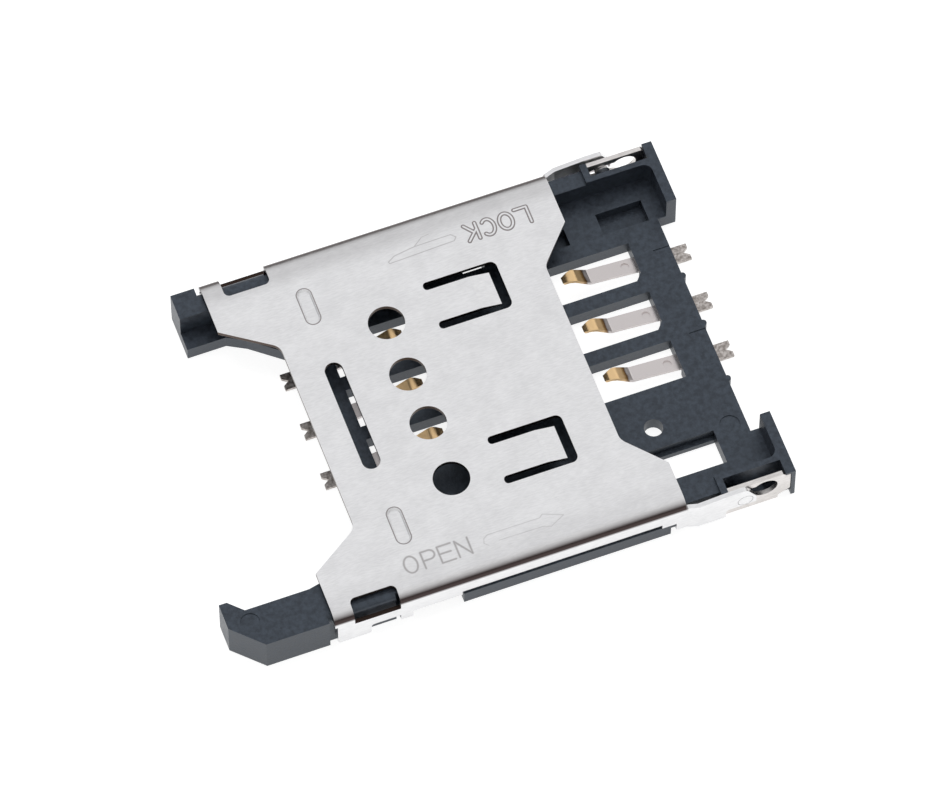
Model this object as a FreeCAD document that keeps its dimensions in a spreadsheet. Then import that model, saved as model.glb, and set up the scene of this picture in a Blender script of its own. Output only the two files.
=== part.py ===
import FreeCAD, Part
import math
import os
import re

import Sketcher
from FreeCAD import Vector

# A SIM card socket: a moulded housing soldered flat to a board, six spring contacts in two rows,
# and a sheet-metal lid that slides to lock and swings up on two bosses behind the card.
# Frame: Z = 0 is the board, X runs along the card towards the hinge, and the origin lies under
# the middle of the outline. Lengths are in millimetres.

SIZES = {
    # Housing across the card, inwards from its widest side
    "half_width": 8.58,
    "side_step": 0.25,          # from the widest side to the walls beside the lid and brackets
    "track_step": 0.45,         # from the widest side to the floor's track under the side walls
    "rail_wall": 0.73,          # side walls beside the card
    "thin_wall": 0.25,          # wall between the card and the bracket
    "foot_wide": 2.08,
    "shoulder_wide": 2.53,      # slanted shoulders between the floor and the feet
    "far_step_wide": 1.23,      # tall step of the far foot
    "near_foot_step": 0.05,     # outer side of the near foot
    "near_foot_wide": 1.88,
    "near_nose_wide": 2.48,
    "floor_left_half": 4.7,     # half width of the floor's left edge
    "tongue_half": 5.52,        # half width of the floor's tongue that carries the tails
    # Housing along the card
    "end_x": 12.5,              # outer face of the end walls, behind the card
    "end_wall": 0.45,
    "tongue_back": 0.83,        # how far the tongue stops short of the end walls' outer face
    "well_long": 2.6,           # well behind the bracket, between the crossbar and the end wall
    "crossbar": 0.3,            # thickness of the crossbar
    "stub_long": 1.55,          # short side walls in front of the crossbar
    "well_deep_left": 0.75,     # deep stretches of that well beside its raised middle
    "well_deep_right": 0.85,
    "floor_left_x": -5.29,      # left edge of the floor between the feet
    "shoulder_long": 0.8,       # from the feet to where the slanted shoulders get steeper
    "rail_end_x": -4.55,        # end of the side walls that come from the feet
    "track_end_x": -2.45,       # where the full width of the floor begins
    "band_gap": 0.22,           # from its other end to the lid's rear tabs, which swing past it
    "near_foot_x": -12.5,       # tip of the near foot
    "near_foot_taper": 0.95,    # length over which its inner side widens towards the floor
    "nose_flat": 0.35,          # flat of the nose
    "near_chamfer": 1.25,       # outer chamfer of the near foot
    "far_foot_x": -9.5,         # left face of the far foot
    "shoulder_gap": 0.31,       # from the feet's outer shoulders to the lid's flanges
    # Housing heights
    "floor_top": 0.75,
    "wall_top": 2.0,
    "rail_drop": 0.2,           # from the tall walls down to the short side walls
    "rail_round": 0.3,          # outer edge of the side walls under the lid's folds
    "cavity_round": 0.4,        # inner corners behind the card
    "pit_floor": 0.2,
    # Lock
    "hook_cover": 0.75,         # how far the lid's hooks reach under the ends of the side walls
    "hook_long": 0.55,
    "hook_fit": 0.07,           # from the track to the hooks' tips
    "hook_z": 0.45,
    "hook_rise": 0.3,           # from the hooks up to the ledges that hold them down
    "ledge_thick": 0.3,
    "lock_gap": 0.1,            # from the hooks to the left end of their notches
    "slide_travel": 1.0,        # how far the lid slides to unlock
    # Openings of the floor
    "pitch": 2.54,              # contact pitch across the card
    "row_y": 1.365,             # middle row of contacts
    "slot_wide": 1.88,
    "right_slot_wall": 1.63,    # from the right slots to the tongue's edge
    "right_slot_long": 4.39,
    "left_slot_wall": 1.47,     # from the floor's left edge to the left slots
    "left_slot_long": 3.72,
    "window_wall": 1.48,        # from the near window to the tongue's edge
    "window_long": 3.59,
    "window_y": -6.57,
    "window_wide": 1.62,
    "window_ledge": 0.22,       # ledge along the window's far side
    "window_ledge_z": 0.3,
    "pit_wall": 0.37,           # from the far pit to the tongue's edge
    "pit_long": 2.1,
    "pit_y": 5.6,
    "pit_wide": 1.05,
    "recess_x": 6.2,            # shallow slot beside the pit, partly under the lid
    "recess_long": 1.48,
    "recess_y": 5.62,
    "recess_wide": 0.83,
    "port_x": 2.85,             # window under the far spring tab
    "port_long": 1.0,
    "port_y": 5.9,
    "port_wide": 0.62,
    "gate_wall": 3.82,          # from the round hole to the tongue's edge
    "gate_y": -3.95,
    "gate_bore": 0.83,
    "nub_bore": 0.3,            # moulding nubs on the tongue's edge
    "nub_far_y": 2.55,
    "nub_mid_y": 0.08,
    "nub_near_y": -2.8,
    "corner_nub_long": 0.3,     # nubs in the corners of two right slots
    "corner_nub_wide": 0.35,
    "groove_far_y": 4.07,       # fine grooves that run in from the tongue's edge
    "groove_near_y": -0.25,
    "groove_long": 0.75,
    "groove_wide": 0.07,
    "mark_deep": 0.04,          # depth of the grooves and of the round ejector marks
    "foot_mark_x": -11.53,
    "foot_mark_y": -7.3,
    "foot_mark_bore": 0.84,
    "floor_mark_wall": 0.72,    # from the floor's round mark to the tongue's edge
    "floor_mark_y": -4.93,
    "floor_mark_bore": 0.9,
    # Contacts
    "strip": 0.15,              # thickness of the contact strip
    "strip_wide": 0.78,
    "strip_fit": 0.02,          # room beside the strip in its channel
    "tail_out": 0.82,           # tail beyond the edge of the floor
    "tail_inside": 0.1,         # flat of the tail inside that edge
    "step_long": 0.45,          # slanted step of the strip inside its channel
    "root_z": 0.34,             # underside of the strip at its root
    "right_beam": 2.99,         # from the root to the crest
    "left_beam": 2.74,
    "crest_z": 1.36,            # where the two slopes of the crest would meet
    "knee_long": 0.8,           # from the knee to the crest
    "knee_z": 0.6,              # underside of the strip at the knee
    "tip_long": 0.38,           # from the crest to the tip
    "tip_drop": 0.22,
    "root_wide": 0.72,
    "knee_wide": 0.68,
    "crest_wide": 0.56,
    "tip_wide": 0.3,
    "notch_deep": 0.27,
    "notch_wide": 0.36,
    "bend": 0.25,               # centre-line radius of the strip's bends
    "crest_bend": 0.35,
    "dimple_bore": 0.38,
    "dimple_deep": 0.02,
    "dimple_x": 0.5,            # from the root to the dimple
    # Lid across the card
    "sheet": 0.2,               # thickness of the lid and the brackets
    "flange_gap": 0.12,         # from the housing's walls to the lid's flanges
    "horn_wide": 2.6,           # left end of the plate, inwards from the far flange
    "horn_near_wide": 2.4,
    "wing_wide": 2.67,          # right end of the plate, inwards from the far flange
    "wing_near_wide": 2.17,
    "waist_left_y": 4.47,
    "waist_left_near_y": -4.79,
    "waist_right_y": 4.25,
    "waist_right_near_y": -4.74,
    "catch_far_wide": 1.1,      # windows across the folds
    "catch_near_wide": 0.78,
    "lip_wide": 1.25,           # card lips, inwards from the flanges
    # Lid along the card
    "lid_left_x": -8.23,
    "lid_back": 2.6,            # from the plate's right end to the hinge
    "waist_left": 2.26,         # depth of the left waist
    "waist_right": 1.55,
    "waist_round": 0.6,
    "flange_step": 0.11,        # from the plate's left end to the flanges
    "front_tab_long": 1.5,
    "catch_back": 0.88,         # from the plate's left end to the windows
    "catch_long": 2.05,
    "catch_round": 0.25,
    "lip_x": -2.55,
    "lip_gap": 0.65,            # from the lips to the rear tabs
    "rear_tab_step": 0.45,      # from the plate's right end back to the rear tabs
    "rear_tab_end": 0.86,       # from the rear tabs' other end to the hinge
    "joggle": 0.5,              # length of the outward joggle of the arms
    "arm_rise": 0.65,           # from the full height of the arms to the hinge
    "arm_slant": 0.45,          # slanted stretch of the arms' ends
    "arm_end": 0.5,             # arms beyond the hinge
    "arm_gap": 0.07,            # from a bracket to the arm beside it
    "foot_cover": 0.37,         # how far the tall feet reach under the flanges
    # Lid heights
    "lid_gap": 0.09,            # from the tall walls up to the plate
    "fold": 0.6,                # outer radius of the folds
    "fold_end": 0.7,            # depth of the folded edge below the top of the plate
    "catch_deep": 0.82,
    "flange_lift": 0.12,        # from the floor up to the flanges' edge and the lips
    "lip_fold": 0.35,           # outer radius of the lips' folds
    "tab_z": 0.18,              # lower edge of the front tabs
    "rear_tab_z": 0.3,
    "arm_low": 0.37,            # arms below the hinge
    "arm_high": 0.88,           # arms above the hinge
    "arm_root": 0.34,           # from the plate's top down to the top of the arms' roots
    "arm_fall": 0.78,           # height of the arms' slanted ends
    "arm_round": 0.3,
    "flange_round": 0.15,
    # Holes of the plate
    "view_bore": 1.6,           # round view holes
    "view_x": -1.33,
    "view_far_y": 3.99,
    "view_mid_y": 1.34,
    "view_low_y": -1.16,
    "view_near_y": -4.0,
    "slit_x": -4.22,            # long rounded slot
    "slit_y": 0.28,
    "slit_long": 5.4,
    "slit_wide": 0.8,
    "bead_x": -4.18,            # pressed beads
    "bead_far_y": 5.89,
    "bead_near_y": -5.33,
    "bead_long": 1.8,
    "bead_wide": 0.65,
    "bead_deep": 0.1,
    "bead_slope": 0.08,         # run of the beads' sloped sides
    # Spring tabs of the lid
    "tab_far_y": 4.065,
    "tab_near_y": -3.875,
    "tab_wide": 1.62,
    "tab_slot": 0.38,           # width of the slot round each tab
    "tab_root_x": 0.73,
    "tab_flat": 2.02,           # flat length of the tabs
    "tab_bent": 0.9,            # bent length of the tabs
    "tab_drop": 0.2,
    "slot_end": 0.4,            # slot beyond the end of each tab
    "slot_round": 0.17,
    "corner_round": 0.3,
    # Hinge
    "hinge_x": 10.15,
    "hinge_z": 1.25,
    "pin_bore": 0.66,           # diameter of the boss
    "pin_fit": 0.02,            # radial room of the boss in the arm
    "pin_inside": 0.18,         # boss beyond the inner face of the bracket
    "pin_dome": 0.12,
    "bracket_drop": 0.05,       # from the tall walls down to the brackets' top
    "bracket_step": 0.3,        # from the low step of the brackets' undersides to the end walls
    "bracket_slope": 0.1,       # sloped stretch of their top before the end walls
    "bracket_low": 0.55,        # underside of the bracket's tucked-in right end
    "tuck_left": 0.2,           # bracket under the crossbar
    "tuck_right": 0.25,         # bracket under the end wall
    "tuck_roof": 0.15,          # thickness of the roofs over those ends
    "tuck_fit": 0.02,
    "key_slot": 0.74,           # height of the keyhole's slot
    "key_back": 0.65,           # from the locked boss to the slot's end
    "key_bore": 1.12,
}

# Places that several pieces share, each as a formula of the sizes
SIDE = "(half_width - side_step)"                   # walls beside the flanges and brackets
TRACK = "(half_width - track_step)"
RAIL_IN = f"({SIDE} - rail_wall)"                   # inner face of the side walls
WELL_IN = f"({RAIL_IN} + thin_wall)"                # inner side of the wells behind the brackets
TONGUE_X = "(end_x - tongue_back)"                  # right edge of the floor's tongue
END_WALL_X = "(end_x - end_wall)"                   # inner face of the end walls
CROSSBAR_END_X = f"({END_WALL_X} - well_long)"
CROSSBAR_X = f"({CROSSBAR_END_X} - crossbar)"
RIGHT_ROOT_X = f"({TONGUE_X} - right_slot_wall)"    # roots of the right contacts
LEFT_ROOT_X = "(floor_left_x + left_slot_wall)"     # roots of the left contacts
LID_TOP = "(wall_top + lid_gap + sheet)"
UNDERSIDE = "(wall_top + lid_gap)"                  # underside of the lid's plate
FOLD_LOW = f"({LID_TOP} - fold_end)"                # where the flanges begin
FLANGE_Z = "(floor_top + flange_lift)"              # lower edge of the flanges
FLANGE_IN = f"({SIDE} + flange_gap)"                # inner face of the lid's flanges
FLANGE_OUT = f"({FLANGE_IN} + sheet)"
FLANGE_X = "(lid_left_x + flange_step)"             # left end of the flanges
LID_RIGHT_X = "(hinge_x - lid_back)"
REAR_TAB_X = f"({LID_RIGHT_X} - rear_tab_step)"
LIP_END_X = f"({REAR_TAB_X} - lip_gap)"
BRACKET_OUT = f"({SIDE} + sheet)"                   # outer face of the brackets
ARM_IN = f"({BRACKET_OUT} + arm_gap)"               # inner face of the lid's arms
FOOT_ROOT_X = f"({FLANGE_X} + foot_cover)"          # where the feet leave the floor
SHOULDER_X = f"({FLANGE_X} - shoulder_gap)"         # outer shoulders of the feet
HOOK_X = "(rail_end_x - hook_cover)"                # left end of the lid's hooks
LEDGE_Z = "(hook_z + sheet + hook_rise)"            # underside of the ledges over them
TUCK_TOP = "(wall_top - tuck_roof)"                 # top of the brackets' tucked-in ends

doc = FreeCAD.newDocument("sim_socket")
sheet = doc.addObject("Spreadsheet::Sheet", "Sizes")
for row, (name, size) in enumerate(SIZES.items(), start=1):
    sheet.set(f"A{row}", name)
    sheet.set(f"B{row}", str(size))
    sheet.setAlias(f"B{row}", name)
doc.recompute()


def value(formula):
    """Number that a formula of the sheet's sizes comes to."""
    return float(sheet.evalExpression(formula))


def bind(obj, prop, formula):
    """Ties a property to a formula of the sheet's sizes."""
    obj.setExpression(prop, re.sub(r"[a-z][a-z_]+", lambda word: "Sizes." + word[0], formula))


def new_body(name):
    body = doc.addObject("PartDesign::Body", name)
    body.Label = name
    return body


def origin_feature(body, role):
    return next(f for f in body.Origin.OriginFeatures if f.Role == role)


def sketch(body, name, role, offset=None):
    """Empty sketch on one of the body's own origin planes, at an offset along its normal."""
    sk = body.newObject("Sketcher::SketchObject", name)
    sk.AttachmentSupport = (origin_feature(body, role), [""])
    sk.MapMode = "FlatFace"
    if offset:
        bind(sk, ".AttachmentOffset.Base.z", offset)
    return sk


def constrain(sk, kind, *args, formula=None):
    """Adds one constraint, with its size bound to a formula where it has one."""
    if formula is None:
        return sk.addConstraint(Sketcher.Constraint(kind, *args))
    index = sk.addConstraint(Sketcher.Constraint(kind, *args, value(formula)))
    bind(sk, f"Constraints[{index}]", formula)
    return index


def place(sk, geo, pos, x, y):
    """Places a sketch point by two formulas, measured from the sketch's origin."""
    constrain(sk, "DistanceX", -1, 1, geo, pos, formula=x)
    constrain(sk, "DistanceY", -1, 1, geo, pos, formula=y)


def outline(sk, corners):
    """Closed outline of straight edges; a corner is (x, y), or (x, y, radius) to round it."""
    points = [Vector(value(c[0]), value(c[1]), 0) for c in corners]
    radii = [value(c[2]) if len(c) > 2 else 0 for c in corners]
    count = len(corners)
    leave, arrive, centres = [], [], []
    for i, point in enumerate(points):
        back = (points[i - 1] - point).normalize()
        on = (points[(i + 1) % count] - point).normalize()
        half = back.getAngle(on) / 2
        reach = radii[i] / math.tan(half)
        arrive.append(point + back * reach)
        leave.append(point + on * reach)
        centres.append(point + (back + on).normalize() * (radii[i] / math.sin(half)))
    first = sk.GeometryCount
    for i in range(count):
        sk.addGeometry(Part.LineSegment(leave[i], arrive[(i + 1) % count]))
    for i, corner in enumerate(corners):
        line_in = first + (i - 1) % count
        line_out = first + i
        if len(corner) == 2:
            constrain(sk, "Coincident", line_in, 2, line_out, 1)
            place(sk, line_out, 1, *corner)
            continue
        start, end = arrive[i] - centres[i], leave[i] - centres[i]
        left_turn = (points[i] - points[i - 1]).cross(points[(i + 1) % count] - points[i]).z > 0
        if not left_turn:
            start, end = end, start
        a, b = math.atan2(start.y, start.x), math.atan2(end.y, end.x)
        circle = Part.Circle(centres[i], Vector(0, 0, 1), radii[i])
        arc = sk.addGeometry(Part.ArcOfCircle(circle, a, b if b > a else b + 2 * math.pi))
        constrain(sk, "Tangent", line_in, 2, arc, 1 if left_turn else 2)
        constrain(sk, "Tangent", arc, 2 if left_turn else 1, line_out, 1)
        constrain(sk, "Radius", arc, formula=corner[2])
        tip = sk.addGeometry(Part.Point(points[i]), True)
        constrain(sk, "PointOnObject", tip, 1, line_in)
        constrain(sk, "PointOnObject", tip, 1, line_out)
        place(sk, tip, 1, corner[0], corner[1])


def rectangle(sk, left, low, right, high, radius=None):
    """Closed rectangle between two corners, with its corners rounded where a radius is given."""
    corners = [(left, low), (right, low), (right, high), (left, high)]
    outline(sk, [c + (radius,) if radius else c for c in corners])


def circle(sk, x, y, diameter):
    geo = sk.addGeometry(Part.Circle(Vector(value(x), value(y), 0), Vector(0, 0, 1), value(diameter) / 2))
    place(sk, geo, 3, x, y)
    constrain(sk, "Diameter", geo, formula=diameter)


def upright_slot(sk, x, y, long, wide):
    """Slot with round ends, its length along the sketch's upright axis, centred on (x, y)."""
    outer, cap = f"({long}) / 2", f"({wide}) / 2"
    left, right = Vector(-value(cap), 0, 0), Vector(value(cap), 0, 0)
    top = Vector(value(x), value(f"{y} + {outer} - {cap}"), 0)
    low = Vector(value(x), value(f"{y} - {outer} + {cap}"), 0)
    z = Vector(0, 0, 1)
    upper = sk.addGeometry(Part.ArcOfCircle(Part.Circle(top, z, value(cap)), 0, math.pi))
    lower = sk.addGeometry(Part.ArcOfCircle(Part.Circle(low, z, value(cap)), math.pi, 2 * math.pi))
    left_side = sk.addGeometry(Part.LineSegment(top + left, low + left))
    right_side = sk.addGeometry(Part.LineSegment(low + right, top + right))
    constrain(sk, "Tangent", upper, 2, left_side, 1)
    constrain(sk, "Tangent", left_side, 2, lower, 1)
    constrain(sk, "Tangent", lower, 2, right_side, 1)
    constrain(sk, "Coincident", right_side, 2, upper, 1)
    constrain(sk, "Radius", upper, formula=cap)
    place(sk, upper, 3, x, f"{y} + {outer} - {cap}")
    place(sk, lower, 3, x, f"{y} - {outer} + {cap}")


def pad(body, name, profile, length, reverse=False, middle=False):
    feature = body.newObject("PartDesign::Pad", name)
    feature.Profile = profile
    bind(feature, "Length", length)
    feature.Reversed = reverse
    feature.SideType = "Symmetric" if middle else "One side"
    return feature


def pocket(body, name, profile, length=None, upward=False, middle=False):
    """Cut along the sketch's normal, or through everything when no length is given."""
    feature = body.newObject("PartDesign::Pocket", name)
    feature.Profile = profile
    feature.SideType = "Symmetric" if middle else "One side"
    if length:
        bind(feature, "Length", length)
    else:
        feature.Type = "ThroughAll"
    feature.Reversed = upward
    return feature


def mirror(body, name, originals):
    """Copies features to the other side of the card's middle plane."""
    feature = body.newObject("PartDesign::Mirrored", name)
    feature.Originals = originals
    feature.MirrorPlane = (origin_feature(body, "XZ_Plane"), [""])
    body.Tip = feature
    return feature


def rows(body, name, originals):
    """Repeats features in the three contact rows, from the near row on."""
    feature = body.newObject("PartDesign::LinearPattern", name)
    feature.Originals = originals
    feature.Direction = (origin_feature(body, "Y_Axis"), [""])
    feature.Mode = "Spacing"
    bind(feature, "Offset", "pitch")
    feature.Occurrences = 3
    body.Tip = feature
    return feature


def both_sides(half):
    """Whole outline from the near half of one that is the same on both sides."""
    far = [(x, f"-({y})") + tuple(rest) for x, y, *rest in reversed(half)]
    return half + far


def housing():
    body = new_body("housing")

    # Floor, with its tongue, full-width middle and slanted shoulders towards the feet
    sk = sketch(body, "floor_plan", "XY_Plane")
    outline(sk, both_sides([
        (TONGUE_X, "-tongue_half"),
        ("end_x", "-tongue_half"),
        ("end_x", f"-{SIDE}"),
        (f"{REAR_TAB_X} - band_gap", f"-{SIDE}"),
        (f"{REAR_TAB_X} - band_gap", "-half_width"),
        ("track_end_x", "-half_width"),
        ("track_end_x", f"-{TRACK}"),
        (FOOT_ROOT_X, f"-{TRACK}"),
        (FOOT_ROOT_X, "-half_width + foot_wide"),
        (f"{FOOT_ROOT_X} + shoulder_long", "-half_width + shoulder_wide"),
        ("floor_left_x", "-floor_left_half"),
    ]))
    pad(body, "floor", sk, "floor_top")

    # Near foot: a tall block with a slanted nose
    outer = "-half_width + near_foot_step"
    inner = "-half_width + near_foot_wide"
    nose = "-half_width + near_nose_wide"
    sk = sketch(body, "near_foot_plan", "XY_Plane")
    outline(sk, [
        ("near_foot_x", nose),
        ("near_foot_x", f"{outer} + near_chamfer"),
        ("near_foot_x + near_chamfer", outer),
        (SHOULDER_X, outer),
        (SHOULDER_X, f"-{SIDE} + rail_round"),
        (FOOT_ROOT_X, f"-{SIDE} + rail_round"),
        (FOOT_ROOT_X, "-half_width + foot_wide"),
        (f"{FOOT_ROOT_X} - near_foot_taper", inner),
        (f"near_foot_x + nose_flat + {nose} - ({inner})", inner),
        ("near_foot_x + nose_flat", nose),
    ])
    pad(body, "near_foot", sk, "wall_top")

    # Far foot: a low shelf with a tall outer step
    sk = sketch(body, "far_foot_plan", "XY_Plane")
    outline(sk, [
        ("far_foot_x", "half_width - foot_wide"),
        (FOOT_ROOT_X, "half_width - foot_wide"),
        (FOOT_ROOT_X, SIDE),
        (SHOULDER_X, SIDE),
        (SHOULDER_X, "half_width"),
        ("far_foot_x", "half_width"),
    ])
    pad(body, "far_shelf", sk, "floor_top")
    sk = sketch(body, "far_step_plan", "XY_Plane")
    outline(sk, [
        ("far_foot_x", "half_width - far_step_wide"),
        (FOOT_ROOT_X, "half_width - far_step_wide"),
        (FOOT_ROOT_X, f"{SIDE} - rail_round"),
        (SHOULDER_X, f"{SIDE} - rail_round"),
        (SHOULDER_X, "half_width"),
        ("far_foot_x", "half_width"),
    ])
    pad(body, "far_step_block", sk, "wall_top")

    # Walls of one side, then of the other; the long one is rounded under the lid's fold
    sk = sketch(body, "rail_section", "YZ_Plane", SHOULDER_X)
    outline(sk, [
        (f"-{SIDE}", "0"),
        (f"-{RAIL_IN}", "0"),
        (f"-{RAIL_IN}", "wall_top"),
        (f"-{SIDE}", "wall_top", "rail_round"),
    ])
    rail = pad(body, "rail", sk, f"rail_end_x - {SHOULDER_X}")
    sk = sketch(body, "stub_plan", "XY_Plane")
    rectangle(sk, f"{CROSSBAR_X} - stub_long", f"-{SIDE}", CROSSBAR_X, f"-{RAIL_IN}")
    stub = pad(body, "stub", sk, "wall_top - rail_drop")
    sk = sketch(body, "hinge_wall_plan", "XY_Plane")
    outline(sk, [
        (CROSSBAR_X, f"-{BRACKET_OUT}"),
        (CROSSBAR_END_X, f"-{BRACKET_OUT}"),
        (CROSSBAR_END_X, f"-{WELL_IN}"),
        (END_WALL_X, f"-{WELL_IN}"),
        (END_WALL_X, "-half_width"),
        ("end_x", "-half_width"),
        ("end_x", "-tongue_half"),
        (END_WALL_X, "-tongue_half"),
        (END_WALL_X, f"-{RAIL_IN}", "cavity_round"),
        (CROSSBAR_X, f"-{RAIL_IN}"),
    ])
    walls = pad(body, "hinge_walls", sk, "wall_top")
    mirror(body, "far_walls", [rail, stub, walls])

    # Seats of the bracket's tucked-in ends, under the crossbar and the end wall
    sk = sketch(body, "tuck_plan", "XY_Plane")
    rectangle(sk, f"{CROSSBAR_END_X} - tuck_left - tuck_fit", "-half_width - sheet",
              f"{END_WALL_X} + tuck_right + tuck_fit", f"-{SIDE}")
    tuck = pocket(body, "tuck", sk, f"{TUCK_TOP} + tuck_fit", upward=True)

    # Wells behind the bracket, left and right of a raised middle
    sk = sketch(body, "well_plan", "XY_Plane", "pit_floor")
    rectangle(sk, CROSSBAR_END_X, f"-{BRACKET_OUT}", f"{CROSSBAR_END_X} + well_deep_left", f"-{WELL_IN}")
    rectangle(sk, f"{END_WALL_X} - well_deep_right", f"-{BRACKET_OUT}", END_WALL_X, f"-{WELL_IN}")
    wells = pocket(body, "wells", sk, "floor_top", upward=True)

    # Notches at the end of the side wall: under its ledge for the lid's hook, and above it
    sk = sketch(body, "hook_notch_plan", "XY_Plane")
    notch = (f"{HOOK_X} - lock_gap", "-half_width", "rail_end_x", f"-{TRACK}")
    rectangle(sk, *notch)
    hook_notch = pocket(body, "hook_notch", sk, LEDGE_Z, upward=True)
    sk = sketch(body, "lift_notch_plan", "XY_Plane", f"{LEDGE_Z} + ledge_thick")
    rectangle(sk, *notch)
    lift_notch = pocket(body, "lift_notch", sk, "wall_top", upward=True)
    mirror(body, "far_seats", [tuck, wells, hook_notch, lift_notch])

    # Slots under the beams of the contacts
    near_row = "row_y - pitch"
    sk = sketch(body, "slot_plan", "XY_Plane")
    for slot_x, slot_end_x in ((f"{RIGHT_ROOT_X} - right_slot_long", RIGHT_ROOT_X),
                               (LEFT_ROOT_X, f"{LEFT_ROOT_X} + left_slot_long")):
        rectangle(sk, slot_x, f"{near_row} - slot_wide / 2", slot_end_x, f"{near_row} + slot_wide / 2")
    slots = pocket(body, "slots", sk, upward=True)

    # Channels that hold the strips between the slots and the edge of the floor
    sk = sketch(body, "channel_plan", "XY_Plane")
    low = f"{near_row} - strip_wide / 2 - strip_fit"
    high = f"{near_row} + strip_wide / 2 + strip_fit"
    rectangle(sk, RIGHT_ROOT_X, low, TONGUE_X, high)
    rectangle(sk, "floor_left_x", low, LEFT_ROOT_X, high)
    channels = pocket(body, "channels", sk, "root_z + strip", upward=True)
    rows(body, "contact_rows", [slots, channels])

    # Single openings; the near window has a ledge low on its far side
    sk = sketch(body, "opening_plan", "XY_Plane")
    window_end = f"{TONGUE_X} - window_wall"
    window_x = f"{window_end} - window_long"
    rectangle(sk, window_x, "window_y", window_end, "window_y + window_wide - window_ledge")
    rectangle(sk, "port_x", "port_y", "port_x + port_long", "port_y + port_wide")
    circle(sk, f"{TONGUE_X} - gate_wall", "gate_y", "gate_bore")
    pocket(body, "openings", sk, upward=True)
    sk = sketch(body, "window_top_plan", "XY_Plane", "window_ledge_z")
    rectangle(sk, window_x, "window_y", window_end, "window_y + window_wide")
    pocket(body, "window_top", sk, "floor_top", upward=True)
    sk = sketch(body, "pit_plan", "XY_Plane", "pit_floor")
    pit_end = f"{TONGUE_X} - pit_wall"
    rectangle(sk, f"{pit_end} - pit_long", "pit_y", pit_end, "pit_y + pit_wide")
    rectangle(sk, "recess_x", "recess_y", "recess_x + recess_long", "recess_y + recess_wide")
    pocket(body, "pits", sk, "floor_top", upward=True)

    # Traces of the moulding: nubs, grooves and round ejector marks
    sk = sketch(body, "nub_plan", "XY_Plane")
    for y in ("nub_far_y", "nub_mid_y", "nub_near_y"):
        circle(sk, TONGUE_X, y, "nub_bore")
    for row in ("row_y + pitch", "row_y"):
        slot_side = f"{row} - slot_wide / 2"
        outline(sk, [
            (f"{RIGHT_ROOT_X} - corner_nub_long", slot_side),
            (RIGHT_ROOT_X, slot_side),
            (RIGHT_ROOT_X, f"{slot_side} + corner_nub_wide"),
        ])
    pad(body, "nubs", sk, "floor_top")
    sk = sketch(body, "floor_mark_plan", "XY_Plane", "floor_top - mark_deep")
    circle(sk, f"{TONGUE_X} - floor_mark_wall", "floor_mark_y", "floor_mark_bore")
    for y in ("groove_far_y", "groove_near_y"):
        rectangle(sk, f"{TONGUE_X} - groove_long", y, TONGUE_X, f"{y} + groove_wide")
    pocket(body, "floor_marks", sk, "floor_top", upward=True)
    sk = sketch(body, "foot_mark_plan", "XY_Plane", "wall_top - mark_deep")
    circle(sk, "foot_mark_x", "foot_mark_y", "foot_mark_bore")
    pocket(body, "foot_mark", sk, "wall_top", upward=True)
    return body


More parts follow.
